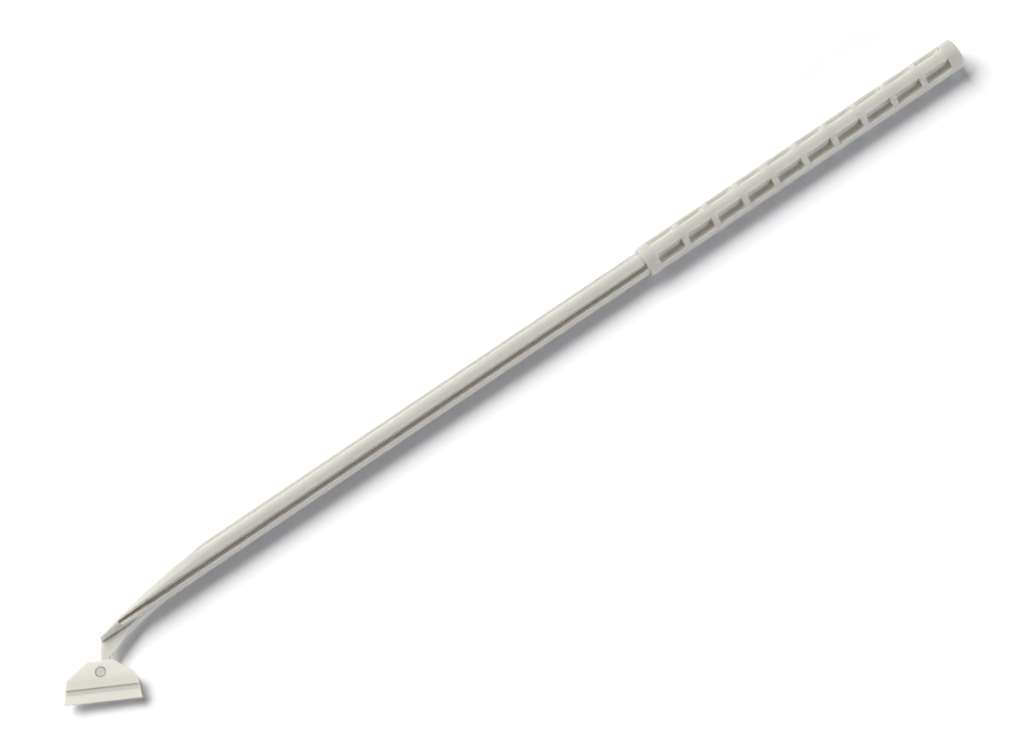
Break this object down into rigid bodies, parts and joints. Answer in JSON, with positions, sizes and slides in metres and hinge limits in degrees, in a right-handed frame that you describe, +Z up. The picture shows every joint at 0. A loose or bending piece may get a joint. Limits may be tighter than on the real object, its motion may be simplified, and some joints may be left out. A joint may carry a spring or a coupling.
{
  "type": "cell scraper",
  "caption": "Long moulded scraper: windowed grip, slim fluted bar with a curved front end and a thin offset neck, and a swivelling head with a straight scraping edge.",
  "frame": {"origin": "centre of the base of the whole tool's bounding box, on the surface that the tool lies on", "axes": "+X along the bar from the grip's end towards the head, +Y to the side that the head is on, +Z up"},
  "size_m": [0.2934, 0.0264, 0.009],
  "materials": {
    "shaft_plastic": "satin, warm light grey",
    "head_plastic": "satin, creamy white"
  },
  "bodies": {
    "shaft": {"scraper_shaft": "shaft_plastic"},
    "head": {"scraper_head": "head_plastic"}
  },
  "joints": [
    {"name": "head_swivel", "type": "hinge", "parent": "shaft", "child": "head", "pos_m": [0.13407, 0.00163, 0.00227], "axis": [0.0045, 0.0523, 0.9986], "range_deg": [-57, 25]}
  ]
}
